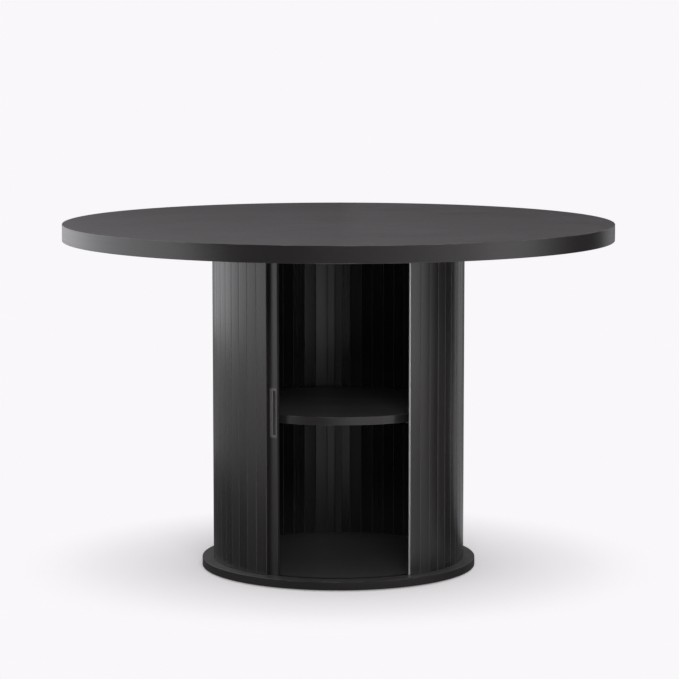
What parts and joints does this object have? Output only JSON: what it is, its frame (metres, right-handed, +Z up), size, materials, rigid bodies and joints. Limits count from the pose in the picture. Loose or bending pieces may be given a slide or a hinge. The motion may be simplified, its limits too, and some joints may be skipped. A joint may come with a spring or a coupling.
{
  "type": "kitchen table with storage cabinet",
  "caption": "Round pedestal table whose drum base of flat staves is a cabinet with a shelf and a curved tambour door that slides round inside the shell.",
  "frame": {"origin": "on the floor under the middle of the tabletop", "axes": "+Z up, the cabinet opening faces -Y, the door closes towards +X"},
  "size_m": [1.1998, 1.2, 0.757],
  "materials": {
    "top_laminate": "satin black laminate on fibreboard",
    "board_laminate": "satin black laminate on fibreboard",
    "underside_paint": "matt black painted fibreboard",
    "edge_band": "satin black edge banding",
    "stave_lacquer": "satin black lacquered fibreboard",
    "post_paint": "satin black painted hardwood",
    "door_lacquer": "satin black lacquered fibreboard",
    "canvas": "plain woven black canvas",
    "pull_enamel": "satin black enamel on zinc",
    "track_nylon": "black nylon",
    "buffer_rubber": "black rubber",
    "zinc_steel": "zinc plated steel",
    "insert_brass": "plain brass",
    "glide_nylon": "black nylon"
  },
  "bodies": {
    "table": {"bolt_washers": "zinc_steel", "centre_pad": "underside_paint", "floor_glides": "glide_nylon", "lower_track": "track_nylon", "plinth": "board_laminate", "plinth_edge_band": "edge_band", "post_back": "post_paint", "post_left_back": "post_paint", "post_right_back": "post_paint", "post_right_front": "post_paint", "post_screws_lower": "zinc_steel", "post_screws_upper": "zinc_steel", "rim_segment_1": "underside_paint", "rim_segment_2": "underside_paint", "rim_segment_3": "underside_paint", "rim_segment_4": "underside_paint", "rim_segment_5": "underside_paint", "rim_segment_6": "underside_paint", "rim_segment_7": "underside_paint", "rim_segment_8": "underside_paint", "shelf": "board_laminate", "shelf_edge_band": "edge_band", "shelf_pegs": "zinc_steel", "shell_left_back": "stave_lacquer", "shell_left_front": "stave_lacquer", "shell_right_back": "stave_lacquer", "shell_right_front": "stave_lacquer", "tabletop_bolts": "zinc_steel", "tabletop_edge_band": "edge_band", "tabletop_panel": "top_laminate", "threaded_inserts": "insert_brass", "top_plate": "board_laminate", "top_plate_edge_band": "edge_band", "track_buffers": "buffer_rubber", "upper_track": "track_nylon"},
    "door": {"door_canvas": "canvas", "door_slat_01": "door_lacquer", "door_slat_02": "door_lacquer", "door_slat_03": "door_lacquer", "door_slat_04": "door_lacquer", "door_slat_05": "door_lacquer", "door_slat_06": "door_lacquer", "door_slat_07": "door_lacquer", "door_slat_08": "door_lacquer", "door_slat_09": "door_lacquer", "door_slat_10": "door_lacquer", "door_slat_11": "door_lacquer", "door_slat_12": "door_lacquer", "finger_pull": "pull_enamel", "lead_stile": "door_lacquer"}
  },
  "joints": [
    {"name": "door_slide", "type": "hinge", "parent": "table", "child": "door", "pos_m": [0, 0, 0], "axis": [0, 0, 1], "range_deg": [0, 63.5]}
  ]
}
